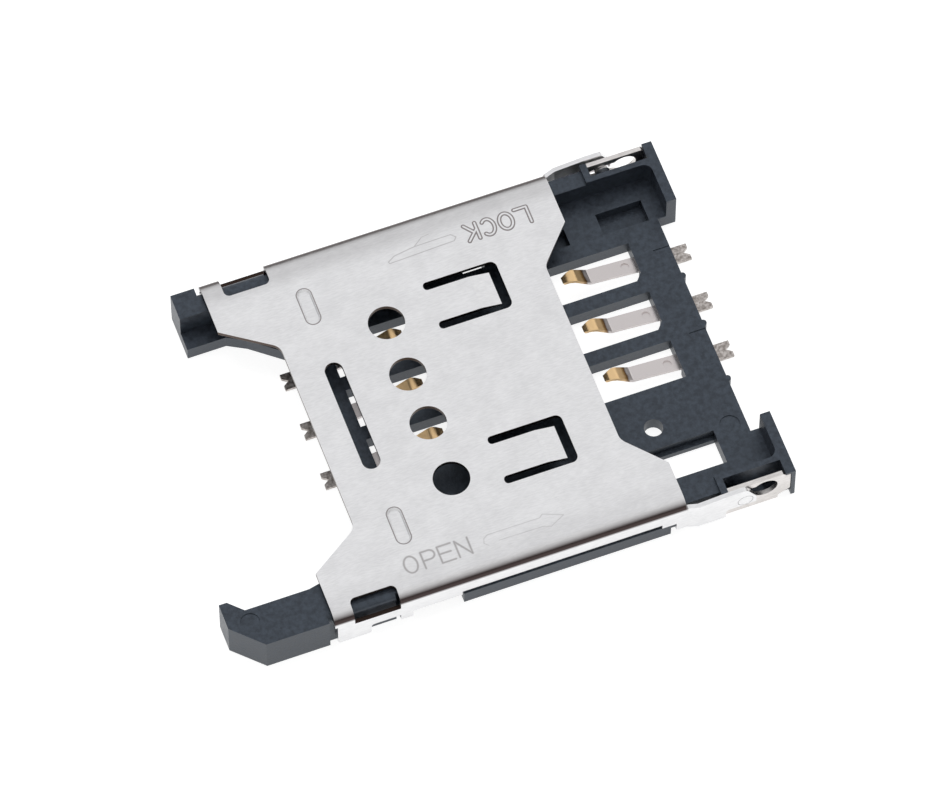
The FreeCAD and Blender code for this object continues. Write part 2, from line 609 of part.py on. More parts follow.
def lid():
    body = new_body("lid")
    inner_fold = "fold - sheet"

    # Plate with both long edges folded down
    sk = sketch(body, "plate_section", "YZ_Plane", "lid_left_x")
    outline(sk, [
        (f"-{FLANGE_OUT}", FOLD_LOW),
        (f"-{FLANGE_IN}", FOLD_LOW),
        (f"-{FLANGE_IN}", UNDERSIDE, inner_fold),
        (FLANGE_IN, UNDERSIDE, inner_fold),
        (FLANGE_IN, FOLD_LOW),
        (FLANGE_OUT, FOLD_LOW),
        (FLANGE_OUT, LID_TOP, "fold"),
        (f"-{FLANGE_OUT}", LID_TOP, "fold"),
    ])
    pad(body, "plate", sk, f"{LID_RIGHT_X} - lid_left_x")

    # Waisted ends of the plate
    sk = sketch(body, "waist_plan", "XY_Plane")
    beyond_left, beyond_right = "lid_left_x - sheet", f"{LID_RIGHT_X} + sheet"
    left_waist, right_waist = "lid_left_x + waist_left", f"{LID_RIGHT_X} - waist_right"
    outline(sk, [
        (beyond_left, f"-{FLANGE_OUT} + horn_near_wide"),
        ("lid_left_x", f"-{FLANGE_OUT} + horn_near_wide"),
        (left_waist, "waist_left_near_y", "waist_round"),
        (left_waist, "waist_left_y", "waist_round"),
        ("lid_left_x", f"{FLANGE_OUT} - horn_wide"),
        (beyond_left, f"{FLANGE_OUT} - horn_wide"),
    ])
    outline(sk, [
        (beyond_right, f"-{FLANGE_OUT} + wing_near_wide"),
        (beyond_right, f"{FLANGE_OUT} - wing_wide"),
        (LID_RIGHT_X, f"{FLANGE_OUT} - wing_wide"),
        (right_waist, "waist_right_y", "waist_round"),
        (right_waist, "waist_right_near_y", "waist_round"),
        (LID_RIGHT_X, f"-{FLANGE_OUT} + wing_near_wide"),
    ])
    pocket(body, "waists", sk, upward=True)

    # Outside of the near flange: front tab, hook, raised middle over the card lip, rear tab
    sk = sketch(body, "flange_side", "XZ_Plane", FLANGE_IN)
    outline(sk, [
        (FLANGE_X, FOLD_LOW),
        (FLANGE_X, "tab_z", "flange_round"),
        (f"{FLANGE_X} + front_tab_long", "tab_z", "flange_round"),
        (f"{FLANGE_X} + front_tab_long", FLANGE_Z, "flange_round"),
        (HOOK_X, FLANGE_Z),
        (HOOK_X, "hook_z"),
        (f"{HOOK_X} + hook_long", "hook_z"),
        (f"{HOOK_X} + hook_long", FLANGE_Z),
        ("lip_x", FLANGE_Z),
        ("lip_x", f"{FLANGE_Z} + lip_fold"),
        (LIP_END_X, f"{FLANGE_Z} + lip_fold"),
        (LIP_END_X, FLANGE_Z),
        (REAR_TAB_X, FLANGE_Z),
        (REAR_TAB_X, "rear_tab_z"),
        (LID_RIGHT_X, "rear_tab_z"),
        (LID_RIGHT_X, FOLD_LOW),
    ])
    flange = pad(body, "flange", sk, "sheet")

    # Lip under the card's edge, folded in from the flange
    sk = sketch(body, "lip_section", "YZ_Plane", "lip_x")
    outline(sk, [
        (f"-{FLANGE_OUT}", f"{FLANGE_Z} + lip_fold + sheet"),
        (f"-{FLANGE_OUT}", FLANGE_Z, "lip_fold"),
        (f"-{FLANGE_IN} + lip_wide", FLANGE_Z),
        (f"-{FLANGE_IN} + lip_wide", f"{FLANGE_Z} + sheet"),
        (f"-{FLANGE_IN}", f"{FLANGE_Z} + sheet", "lip_fold - sheet"),
        (f"-{FLANGE_IN}", f"{FLANGE_Z} + lip_fold + sheet"),
    ])
    lip = pad(body, "lip", sk, f"{LIP_END_X} - lip_x")

    # Foot of the hook, turned in to lock under the housing's ledge
    sk = sketch(body, "hook_plan", "XY_Plane", "hook_z")
    rectangle(sk, HOOK_X, f"-{FLANGE_IN} - sheet / 2", f"{HOOK_X} + hook_long", f"-{TRACK} - hook_fit")
    hook = pad(body, "hook", sk, "sheet")

    # Hinge arm, set outwards past the bracket
    arm_end_x, arm_top = "hinge_x + arm_end", "hinge_z + arm_high"
    sk = sketch(body, "arm_plan", "XY_Plane", "rear_tab_z")
    outline(sk, [
        (LID_RIGHT_X, f"-{FLANGE_OUT}"),
        (f"{LID_RIGHT_X} + joggle", f"-{ARM_IN} - sheet"),
        (arm_end_x, f"-{ARM_IN} - sheet"),
        (arm_end_x, f"-{ARM_IN}"),
        (f"{LID_RIGHT_X} + joggle", f"-{ARM_IN}"),
        (LID_RIGHT_X, f"-{FLANGE_IN}"),
    ])
    arm = pad(body, "arm", sk, f"{arm_top} - rear_tab_z")
    mirror(body, "far_flange", [flange, lip, hook, arm])

    # Side outline of both arms: rising top, slanted end and the step down to the rear tab
    sk = sketch(body, "arm_side", "XZ_Plane")
    outline(sk, [
        ("hinge_x - rear_tab_end", "0"),
        (f"{arm_end_x} + sheet", "0"),
        (f"{arm_end_x} + sheet", "hinge_z - arm_low"),
        ("hinge_x - rear_tab_end", "hinge_z - arm_low", "flange_round"),
    ])
    outline(sk, [
        (LID_RIGHT_X, f"{LID_TOP} - arm_root"),
        ("hinge_x - arm_rise", arm_top),
        (f"{arm_end_x} - arm_slant", arm_top, "arm_round"),
        (arm_end_x, f"{arm_top} - arm_fall"),
        (f"{arm_end_x} + sheet", f"{arm_top} - arm_fall"),
        (f"{arm_end_x} + sheet", f"{arm_top} + sheet"),
        (LID_RIGHT_X, f"{arm_top} + sheet"),
    ])
    circle(sk, "hinge_x", "hinge_z", "pin_bore + 2 * pin_fit")
    pocket(body, "arm_outline", sk, f"4 * {FLANGE_OUT}", middle=True)

    # Windows across both folds
    left, right = "(lid_left_x + catch_back)", "(lid_left_x + catch_back + catch_long)"
    sk = sketch(body, "catch_plan", "XY_Plane", f"{LID_TOP} - catch_deep")
    for side, wide in (("-1", "catch_near_wide"), ("1", "catch_far_wide")):
        outline(sk, [
            (left, f"{side} * ({FLANGE_OUT} + sheet)"),
            (right, f"{side} * ({FLANGE_OUT} + sheet)"),
            (right, f"{side} * ({FLANGE_OUT} - {wide})", "catch_round"),
            (left, f"{side} * ({FLANGE_OUT} - {wide})", "catch_round"),
        ])
    pocket(body, "catch_windows", sk, LID_TOP, upward=True)

    # Holes of the plate, and the slots round its spring tabs
    sk = sketch(body, "hole_plan", "XY_Plane")
    for y in ("view_far_y", "view_mid_y", "view_low_y", "view_near_y"):
        circle(sk, "view_x", y, "view_bore")
    upright_slot(sk, "slit_x", "slit_y", "slit_long", "slit_wide")
    crease_x = "tab_root_x + tab_flat"
    tab_end_x = f"{crease_x} + tab_bent"
    inner, outer = "tab_wide / 2", "(tab_wide / 2 + tab_slot)"
    for y in ("tab_far_y", "tab_near_y"):
        outline(sk, [
            ("tab_root_x", f"{y} + {inner}", "slot_round"),
            (crease_x, f"{y} + {inner}"),
            (crease_x, f"{y} - {inner}"),
            ("tab_root_x", f"{y} - {inner}", "slot_round"),
            ("tab_root_x", f"{y} - {outer}", "slot_round"),
            (f"{tab_end_x} + slot_end", f"{y} - {outer}", "corner_round"),
            (f"{tab_end_x} + slot_end", f"{y} + {outer}", "corner_round"),
            ("tab_root_x", f"{y} + {outer}", "slot_round"),
        ])
    pocket(body, "holes", sk, upward=True)
    for name, y in (("far", "tab_far_y"), ("near", "tab_near_y")):
        sk = sketch(body, f"{name}_tab_side", "XZ_Plane", f"-({y})")
        outline(sk, [
            (crease_x, UNDERSIDE),
            (tab_end_x, f"{UNDERSIDE} - tab_drop"),
            (tab_end_x, f"{LID_TOP} - tab_drop"),
            (crease_x, LID_TOP),
        ])
        pad(body, f"{name}_spring_tab", sk, "tab_wide", middle=True)

    # Pressed beads with sloped sides: sunk on top, standing out below
    for name, y in (("far", "bead_far_y"), ("near", "bead_near_y")):
        for kind, face, inset in (("AdditiveLoft", UNDERSIDE, "sheet"), ("SubtractiveLoft", LID_TOP, "0")):
            wide = sketch(body, f"{name}_{kind}_face", "XY_Plane", face)
            upright_slot(wide, "bead_x", y, f"bead_long - {inset}", f"bead_wide - {inset}")
            deep = sketch(body, f"{name}_{kind}_bottom", "XY_Plane", f"{face} - bead_deep")
            upright_slot(deep, "bead_x", y, f"bead_long - {inset} - 2 * bead_slope",
                         f"bead_wide - {inset} - 2 * bead_slope")
            bead = body.newObject(f"PartDesign::{kind}", f"{name}_bead_{kind}")
            bead.Profile = wide
            bead.Sections = [deep]
    return body


def contact(name, row, root_x, edge_x, reach, outward):
    """One contact: a bent strip from its tail on the board to its crest under the card.

    It is drawn from its root, with X running out to the tail, and outward is 1 where the tail
    points along +X and -1 where it points back.
    """
    body = new_body(name)
    run = f"({outward} * ({edge_x} - {root_x}))"
    half = "strip / 2"
    tail_end = f"{run} + tail_out"
    step = f"{run} - tail_inside"
    path = [
        (tail_end, half),
        (step, half, "bend"),
        (f"{step} - step_long", f"root_z + {half}", "bend"),
        (f"knee_long - {reach}", f"knee_z + {half}", "bend"),
        (f"-{reach}", f"crest_z - {half}", "crest_bend"),
        (f"-{reach} - tip_long", f"crest_z - {half} - tip_drop"),
    ]
    path.insert(3, ("0", f"root_z + {half}", "bend"))

    spine = sketch(body, f"{name}_path", "XZ_Plane")
    bent_line(spine, path)
    section = sketch(body, f"{name}_section", "YZ_Plane", tail_end)
    rectangle(section, "-strip_wide / 2", "0", "strip_wide / 2", "strip")
    sweep = body.newObject("PartDesign::AdditivePipe", f"{name}_strip")
    sweep.Profile = section
    sweep.Spine = spine
    sweep.Transition = "Right corner"

    # Beam tapered in plan from its root to its tip
    sk = sketch(body, f"{name}_taper", "XY_Plane")
    taper = [
        ("0", "root_wide / 2"),
        (f"knee_long - {reach}", "knee_wide / 2"),
        (f"-{reach}", "crest_wide / 2"),
        (f"-{reach} - tip_long", "tip_wide / 2"),
        (f"-{reach} - tip_long - strip", "tip_wide / 2"),
        (f"-{reach} - tip_long - strip", "strip_wide"),
        ("0", "strip_wide"),
    ]
    outline(sk, taper)
    outline(sk, [(x, f"-({y})") for x, y in reversed(taper)])
    outline(sk, [
        (f"{tail_end} + strip", "-notch_wide / 2"),
        (f"{tail_end} + strip", "notch_wide / 2"),
        (tail_end, "notch_wide / 2"),
        (f"{tail_end} - notch_deep", "0"),
        (tail_end, "-notch_wide / 2"),
    ])
    pocket(body, f"{name}_trim", sk, upward=True)

    # Round dimple near the root
    sk = sketch(body, f"{name}_dimple_plan", "XY_Plane", "root_z + strip - dimple_deep")
    circle(sk, "-dimple_x", "0", "dimple_bore")
    pocket(body, f"{name}_dimple", sk, "knee_z", upward=True)

    bind(body, ".Placement.Base.x", root_x)
    bind(body, ".Placement.Base.y", row)
    body.Placement.Rotation = FreeCAD.Rotation(Vector(0, 0, 1), 0 if outward > 0 else 180)
    return body


def bent_line(sk, corners):
    """Open line through corners, each (x, y) or (x, y, radius) to bend it there."""
    points = [Vector(value(c[0]), value(c[1]), 0) for c in corners]
    first = sk.GeometryCount
    bends = {}
    for i in range(1, len(points) - 1):
        back = (points[i - 1] - points[i]).normalize()
        on = (points[i + 1] - points[i]).normalize()
        half = back.getAngle(on) / 2
        radius = value(corners[i][2])
        reach = radius / math.tan(half)
        centre = points[i] + (back + on).normalize() * (radius / math.sin(half))
        bends[i] = (points[i] + back * reach, points[i] + on * reach, centre, radius)
    for i in range(len(points) - 1):
        start = bends[i][1] if i in bends else points[i]
        end = bends[i + 1][0] if i + 1 in bends else points[i + 1]
        sk.addGeometry(Part.LineSegment(start, end))
    place(sk, first, 1, *corners[0])
    place(sk, first + len(points) - 2, 2, *corners[-1])
    for i, (arrive, leave, centre, radius) in bends.items():
        left_turn = (points[i] - points[i - 1]).cross(points[i + 1] - points[i]).z > 0
        start, end = (arrive, leave) if left_turn else (leave, arrive)
        a = math.atan2(start.y - centre.y, start.x - centre.x)
        b = math.atan2(end.y - centre.y, end.x - centre.x)
        whole = Part.Circle(centre, Vector(0, 0, 1), radius)
        arc = sk.addGeometry(Part.ArcOfCircle(whole, a, b if b > a else b + 2 * math.pi))
        constrain(sk, "Tangent", first + i - 1, 2, arc, 1 if left_turn else 2)
        constrain(sk, "Tangent", arc, 2 if left_turn else 1, first + i, 1)
        constrain(sk, "Radius", arc, formula=corners[i][2])
        tip = sk.addGeometry(Part.Point(points[i]), True)
        constrain(sk, "PointOnObject", tip, 1, first + i - 1)
        constrain(sk, "PointOnObject", tip, 1, first + i)
        place(sk, tip, 1, corners[i][0], corners[i][1])


def bracket(name, side):
    """Hinge bracket: an upright sheet with a keyhole for the lid's boss; side is 1 far, -1 near."""
    body = new_body(name)
    offset = f"-{BRACKET_OUT}" if side > 0 else SIDE
    left_x, right_x = f"{CROSSBAR_END_X} - tuck_left", f"{END_WALL_X} + tuck_right"
    top = "wall_top - bracket_drop"
    sk = sketch(body, f"{name}_side", "XZ_Plane", offset)
    outline(sk, [
        (left_x, "0"),
        (f"{END_WALL_X} - bracket_step", "0"),
        (f"{END_WALL_X} - bracket_step", "bracket_low - bracket_step", "flange_round"),
        (right_x, "bracket_low", "flange_round"),
        (right_x, TUCK_TOP, "flange_round"),
        (END_WALL_X, TUCK_TOP),
        (f"{END_WALL_X} - bracket_slope", top),
        (CROSSBAR_END_X, top),
        (CROSSBAR_END_X, TUCK_TOP),
        (left_x, TUCK_TOP),
    ])
    pad(body, f"{name}_sheet", sk, "sheet")
    key_x = "hinge_x + slide_travel"
    sk = sketch(body, f"{name}_slot_side", "XZ_Plane")
    outline(sk, [
        ("hinge_x - key_back", "hinge_z - key_slot / 2", "key_slot / 2 - pin_fit"),
        (key_x, "hinge_z - key_slot / 2"),
        (key_x, "hinge_z + key_slot / 2"),
        ("hinge_x - key_back", "hinge_z + key_slot / 2", "key_slot / 2 - pin_fit"),
    ])
    pocket(body, f"{name}_slot", sk, "4 * half_width", middle=True)
    sk = sketch(body, f"{name}_key_side", "XZ_Plane")
    circle(sk, key_x, "hinge_z", "key_bore")
    pocket(body, f"{name}_key", sk, "4 * half_width", middle=True)
    return body


def hinge_pin(name, side):
    """Hinge boss: a short round pin with a domed inner end; side is 1 far, -1 near."""
    body = new_body(name)
    inner, outer = f"({SIDE} - pin_inside)", f"({ARM_IN} + sheet)"
    sk = sketch(body, f"{name}_half_section", "XY_Plane")
    outline(sk, [
        ("0", f"{side} * {inner}"),
        ("pin_bore / 2 - pin_dome", f"{side} * {inner}"),
        ("pin_bore / 2", f"{side} * ({inner} + pin_dome)"),
        ("pin_bore / 2", f"{side} * {outer}"),
        ("0", f"{side} * {outer}"),
    ])
    turned = body.newObject("PartDesign::Revolution", f"{name}_turned")
    turned.Profile = sk
    turned.ReferenceAxis = (sk, ["V_Axis"])
    turned.Angle = 360
    bind(body, ".Placement.Base.x", "hinge_x")
    bind(body, ".Placement.Base.z", "hinge_z")
    return body


pieces = [housing(), lid()]
for number, step in ((1, "+ pitch"), (2, ""), (3, "- pitch")):
    pieces.append(contact(f"contact_c{number}", f"row_y {step}".strip(), RIGHT_ROOT_X,
                          TONGUE_X, "right_beam", 1))
    pieces.append(contact(f"contact_c{number + 4}", f"row_y {step}".strip(), LEFT_ROOT_X,
                          "floor_left_x", "left_beam", -1))
for end, side in (("far", 1), ("near", -1)):
    pieces.append(bracket(f"bracket_{end}", side))
    pieces.append(hinge_pin(f"hinge_pin_{end}", side))
doc.recompute()

for obj in doc.Objects:
    if "Invalid" in obj.State or "Error" in obj.State:
        raise RuntimeError(f"{obj.Name} failed: {obj.State}")
    if obj.TypeId == "PartDesign::Pocket" and obj.Shape.Volume > obj.BaseFeature.Shape.Volume - 1e-5:
        raise RuntimeError(f"{obj.Name} cuts nothing")
for piece in pieces:
    if piece.Shape.isNull() or not piece.Shape.isValid() or len(piece.Shape.Solids) != 1:
        raise RuntimeError(f"{piece.Name} is not one valid solid")

os.makedirs("parts", exist_ok=True)
for piece in pieces:
    piece.Shape.exportStep(f"parts/{piece.Label}.step")
    box = piece.Shape.BoundBox
    print(piece.Label, round(piece.Shape.Volume, 3), [round(v, 2) for v in
          (box.XMin, box.XMax, box.YMin, box.YMax, box.ZMin, box.ZMax)])
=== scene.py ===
# %% [markdown]
# # A SIM card socket, dressed for its portrait
#
# The socket is about 25 mm long: a dark moulded housing that is soldered flat to a board, six
# spring contacts, two upright hinge brackets and a thin metal lid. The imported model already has
# every form at its true size, so most of this lesson is about surfaces: how rolled steel, tinned
# and gilded bronze and moulded plastic each send light back to the eye.
#
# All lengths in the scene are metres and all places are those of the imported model.

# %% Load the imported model
import math

import bmesh
import bpy
import numpy as np
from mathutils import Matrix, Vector


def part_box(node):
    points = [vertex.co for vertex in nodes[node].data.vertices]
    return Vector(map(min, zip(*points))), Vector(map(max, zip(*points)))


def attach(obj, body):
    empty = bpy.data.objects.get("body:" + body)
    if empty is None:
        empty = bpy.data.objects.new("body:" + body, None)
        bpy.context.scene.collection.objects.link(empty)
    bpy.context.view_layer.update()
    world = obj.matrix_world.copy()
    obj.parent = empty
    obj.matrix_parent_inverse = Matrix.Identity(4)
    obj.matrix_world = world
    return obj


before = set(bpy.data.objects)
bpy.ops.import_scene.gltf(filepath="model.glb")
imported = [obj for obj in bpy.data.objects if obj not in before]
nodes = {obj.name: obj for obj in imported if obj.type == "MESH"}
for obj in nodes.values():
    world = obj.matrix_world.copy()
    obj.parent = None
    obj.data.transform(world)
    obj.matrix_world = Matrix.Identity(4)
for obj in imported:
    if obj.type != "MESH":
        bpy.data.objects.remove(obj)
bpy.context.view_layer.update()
MM = 0.001
print("nodes:", sorted(nodes))

# %% [markdown]
# ## Colours and nodes
#
# Colours are written as the hex values that a screen shows. Blender's shaders count light
# itself, so one function undoes the screen's curve. A second one adds a node, sets it up and
# wires it, which keeps each finish below short enough to read as a recipe. The third describes
# where something starts and stops along a direction, such as a stripe of plating or a bend.


# %% Colour and node helpers
def light(colour):
    """A screen's hex colour as linear light: a straight line when dark, above that a power of 2.4."""
    share = np.array([int(colour[i:i + 2], 16) for i in (1, 3, 5)]) / 255
    linear = np.where(share <= 0.04045, share / 12.92, ((share + 0.055) / 1.055) ** 2.4)
    return (*linear.tolist(), 1.0)


def add(tree, kind, links=None, stops=(), **settings):
    """Adds one node. links maps an input to a socket or a value; stops are a ramp's places and colours."""
    node = tree.nodes.new(kind)
    for name, setting in settings.items():
        setattr(node, name, setting)
    for key, source in (links or {}).items():
        if isinstance(source, bpy.types.NodeSocket):
            tree.links.new(source, node.inputs[key])
        else:
            node.inputs[key].default_value = source
    for number, (position, colour) in enumerate(stops):
        elements = node.color_ramp.elements
        element = elements[number] if number < 2 else elements.new(position)
        element.position, element.color = position, light(colour)
    return node


def band(tree, value, low, full, leave, high):
    """Share that is 0 up to low, rises to 1 at full, stays 1 to leave and is back at 0 from high on."""
    along = add(tree, "ShaderNodeMapRange", {0: value, 1: low, 2: high})
    places = [(mark - low) / (high - low) for mark in (low, full, leave, high)]
    return add(tree, "ShaderNodeValToRGB", {0: along.outputs[0]},
               stops=zip(places, ("#000000", "#FFFFFF", "#FFFFFF", "#000000"))).outputs["Color"]


def new_material(name):
    """An empty material with its output and main shader, and the object's own coordinates in millimetres."""
    material = bpy.data.materials.new(name)
    material.use_nodes = True
    tree = material.node_tree
    tree.nodes.clear()
    shader = add(tree, "ShaderNodeBsdfPrincipled")
    add(tree, "ShaderNodeOutputMaterial", {"Surface": shader.outputs[0]})
    place = add(tree, "ShaderNodeTexCoord").outputs["Object"]
    millimetres = add(tree, "ShaderNodeVectorMath", {0: place, 3: 1 / MM}, operation="SCALE")
    return material, tree, shader, millimetres.outputs[0]


# %% [markdown]
# ## Rolled stainless steel for the lid and the brackets
#
# The lid is stamped from thin stainless strip. Rolling leaves a fine grain along the strip and
# a faint cloudiness, so the plate looks satin: pale, even and never like a mirror. The grain is
# noise that is stretched along X. Real grain lines are a few hundredths of a millimetre apart;
# here they are drawn at 0.06 mm, because finer ones would vanish between the pixels.
#
# The roughness stays above 0.28. Below that the renderer's noise filter takes a metal for a
# mirror, stops reading its colour, and leaves small specks wherever the cloud dips lower.


# %% Rolled steel
def rolled_steel(name, pale, dull, roughness, grain_mm=0.06, cloud_mm=1.2):
    """Tone is the mean of a stretched noise and a soft cloud; the cloud also moves the roughness a little."""
    material, tree, shader, place = new_material(name)
    stretch = add(tree, "ShaderNodeVectorMath", {0: place, 1: (0.2, 1.0, 1.0)}, operation="MULTIPLY")
    grain = add(tree, "ShaderNodeTexNoise", {"Vector": stretch.outputs[0], "Scale": 1 / grain_mm,
                                            "Detail": 3.0})
    cloud = add(tree, "ShaderNodeTexNoise", {"Vector": place, "Scale": 1 / cloud_mm, "Detail": 6.0,
                                            "Roughness": 0.65})
    mixed = add(tree, "ShaderNodeMath", {0: grain.outputs[0], 1: cloud.outputs[0]}, operation="ADD")
    halved = add(tree, "ShaderNodeMath", {0: mixed.outputs[0], 1: 0.5}, operation="MULTIPLY")
    tone = add(tree, "ShaderNodeValToRGB", {0: halved.outputs[0]}, stops=((0.38, dull), (0.62, pale)))
    tree.links.new(tone.outputs["Color"], shader.inputs["Base Color"])
    rough = add(tree, "ShaderNodeMapRange", {0: cloud.outputs[0], 1: 0.3, 2: 0.7,
                                            3: roughness - 0.04, 4: roughness + 0.05})
    tree.links.new(rough.outputs[0], shader.inputs["Roughness"])
    bump = add(tree, "ShaderNodeBump", {"Height": grain.outputs[0], "Strength": 0.1,
                                       "Distance": 0.01 * MM})
    tree.links.new(bump.outputs[0], shader.inputs["Normal"])
    shader.inputs["Metallic"].default_value = 1.0
    return material, tree, shader, place


def over(tree, shader, share, colour):
    """Lays a colour over the one that the shader has so far, by a share."""
    under = shader.inputs["Base Color"].links[0].from_socket
    mixed = add(tree, "ShaderNodeMix", {0: share, 6: under, 7: light(colour)}, data_type="RGBA")
    tree.links.new(mixed.outputs[2], shader.inputs["Base Color"])


bracket_steel = rolled_steel("rolled_stainless_bracket", "#E8E5E3", "#D2CECB", 0.34)[0]
lid_steel, tree, shader, place = rolled_steel("rolled_stainless_lid", "#F0F0F1", "#E3E3E4", 0.32)

# %% [markdown]
# ## Painted shade on the lid
#
# Two darker marks are painted into the lid's steel as shade. The folds along both sides get a dull
# stripe of painted shade, standing for the dark reflection of the bends, and the sheared edges get a
# brown painted shade. Both can be told from the height above the board and the way a face points,
# which every point of a material knows. The painted stripe is lower and wider on the near side. The
# hinge arms are flat and have neither mark.

# %% Painted shade stripe on the folds
NEAR_FOLD_SHADE_MM = (1.75, 1.87, 2.04, 2.31)
FAR_FOLD_SHADE_MM = (1.95, 2.07, 2.18, 2.32)
SIDE_MM, SIDE_SOFT_MM, ARMS_FROM_MM = 7.8, 0.7, 7.52
parts = add(tree, "ShaderNodeSeparateXYZ", {0: place}).outputs
aside = add(tree, "ShaderNodeMath", {0: parts["Y"]}, operation="ABSOLUTE")
outer = add(tree, "ShaderNodeMapRange", {0: aside.outputs[0], 1: SIDE_MM - SIDE_SOFT_MM, 2: SIDE_MM})
before = add(tree, "ShaderNodeMapRange", {0: parts["X"], 1: ARMS_FROM_MM + 0.1, 2: ARMS_FROM_MM})
side = add(tree, "ShaderNodeMath", {0: outer.outputs[0], 1: before.outputs[0]}, operation="MULTIPLY")
near = add(tree, "ShaderNodeMapRange", {0: parts["Y"], 1: 0.1, 2: -0.1})
stripe = add(tree, "ShaderNodeMix", {0: near.outputs[0], 2: band(tree, parts["Z"], *FAR_FOLD_SHADE_MM),
                                     3: band(tree, parts["Z"], *NEAR_FOLD_SHADE_MM)})
stripe = add(tree, "ShaderNodeMath", {0: stripe.outputs[0], 1: side.outputs[0]}, operation="MULTIPLY")
# painted shade: the dark reflection of the folds is laid over the steel's colour
over(tree, shader, stripe.outputs[0], "#483E3D")
print("stripe heights in mm, near and far:", NEAR_FOLD_SHADE_MM, FAR_FOLD_SHADE_MM)

# %% [markdown]
# A rim is an upright face in the thickness of the plate, and gets a brown painted shade. The lower
# edge of a catch window is level instead, lies on the fold well below the plate, and gets a darker
# painted shade, as it lies under the plate.

# %% Painted shade on the sheared edges
LID_TOP_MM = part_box("lid")[1].z / MM
RIM_SHADE_MM = (LID_TOP_MM - 0.22, LID_TOP_MM - 0.19, LID_TOP_MM, LID_TOP_MM + 0.01)
EDGE_SHADE_MM = (1.0, 1.1, 2.0, 2.06)
INNER_TO_MM = 8.1
normal = add(tree, "ShaderNodeTexCoord").outputs["Normal"]
up = add(tree, "ShaderNodeSeparateXYZ", {0: normal}).outputs["Z"]
steep = add(tree, "ShaderNodeMath", {0: up}, operation="ABSOLUTE")
upright = add(tree, "ShaderNodeMapRange", {0: steep.outputs[0], 1: 0.5, 2: 0.3})
level = add(tree, "ShaderNodeMapRange", {0: up, 1: 0.6, 2: 0.8})
inner = add(tree, "ShaderNodeMapRange", {0: aside.outputs[0], 1: INNER_TO_MM + 0.1, 2: INNER_TO_MM})
rim = add(tree, "ShaderNodeMath", {0: upright.outputs[0], 1: band(tree, parts["Z"], *RIM_SHADE_MM)},
          operation="MULTIPLY")
rim = add(tree, "ShaderNodeMath", {0: rim.outputs[0], 1: inner.outputs[0]}, operation="MULTIPLY")
edge = add(tree, "ShaderNodeMath", {0: level.outputs[0], 1: band(tree, parts["Z"], *EDGE_SHADE_MM)},
           operation="MULTIPLY")
edge = add(tree, "ShaderNodeMath", {0: edge.outputs[0], 1: side.outputs[0]}, operation="MULTIPLY")
# painted shade: the rims turn brown and the level edges under the plate turn darker
over(tree, shader, rim.outputs[0], "#4C3D34")
over(tree, shader, edge.outputs[0], "#352B27")
print("lid top at", round(LID_TOP_MM, 3), "mm; its sheared rims start at", round(RIM_SHADE_MM[0], 3), "mm")

# %% [markdown]
# ## Moulded liquid-crystal polymer for the housing
#
# The housing is a charcoal glass-filled plastic that stands the heat of soldering. Moulding
# leaves it matt with a fine pebble from the tool's sparked surface, and the glass makes it very
# slightly mottled. Its colour is nearly black with a blue cast: most of what the eye sees is the
# grey sheen of the surroundings.


# %% Moulded plastic
def moulded_plastic(name, dark, pale, roughness, pebble_mm=0.09):
    """Tone and roughness follow a soft noise two or three pebbles wide; a finer one dents the sheen."""
    material, tree, shader, place = new_material(name)
    mottle = add(tree, "ShaderNodeTexNoise", {"Vector": place, "Scale": 1 / (2.5 * pebble_mm),
                                             "Detail": 5.0, "Roughness": 0.6})
    pebble = add(tree, "ShaderNodeTexNoise", {"Vector": place, "Scale": 1 / pebble_mm, "Detail": 2.0})
    tone = add(tree, "ShaderNodeValToRGB", {0: mottle.outputs[0]}, stops=((0.35, dark), (0.65, pale)))
    tree.links.new(tone.outputs["Color"], shader.inputs["Base Color"])
    rough = add(tree, "ShaderNodeMapRange", {0: mottle.outputs[0], 1: 0.3, 2: 0.7,
                                            3: roughness - 0.05, 4: roughness + 0.05})
    tree.links.new(rough.outputs[0], shader.inputs["Roughness"])
    bump = add(tree, "ShaderNodeBump", {"Height": pebble.outputs[0], "Strength": 0.6,
                                       "Distance": 0.012 * MM})
    tree.links.new(bump.outputs[0], shader.inputs["Normal"])
    shader.inputs["IOR"].default_value = 1.7
    shader.inputs["Specular Tint"].default_value = light("#D3E0EE")
    return material


charcoal_plastic = moulded_plastic("moulded_charcoal_polymer", "#171A21", "#30363F", 0.40)

# %% [markdown]
# ## Tinned and gilded bronze for the contacts
#
# Each contact is phosphor bronze strip. Its tail is tinned for soldering, and only the crest
# that touches the card is plated with gold over nickel. Towards the borders of the gold the colour
# turns through darker gold to brown, which is painted shade. The border lies at a fixed distance
# along X, so the finish reads the object's X and needs no paint map. The tails outside the housing
# were dipped in tin and are the dullest.

# %% Plated strip
GOLD_MM = ((6.2, 7.6), (-2.1, -0.2))
TAIL_RIGHT_MM, TAIL_LEFT_MM = 11.7, -5.3


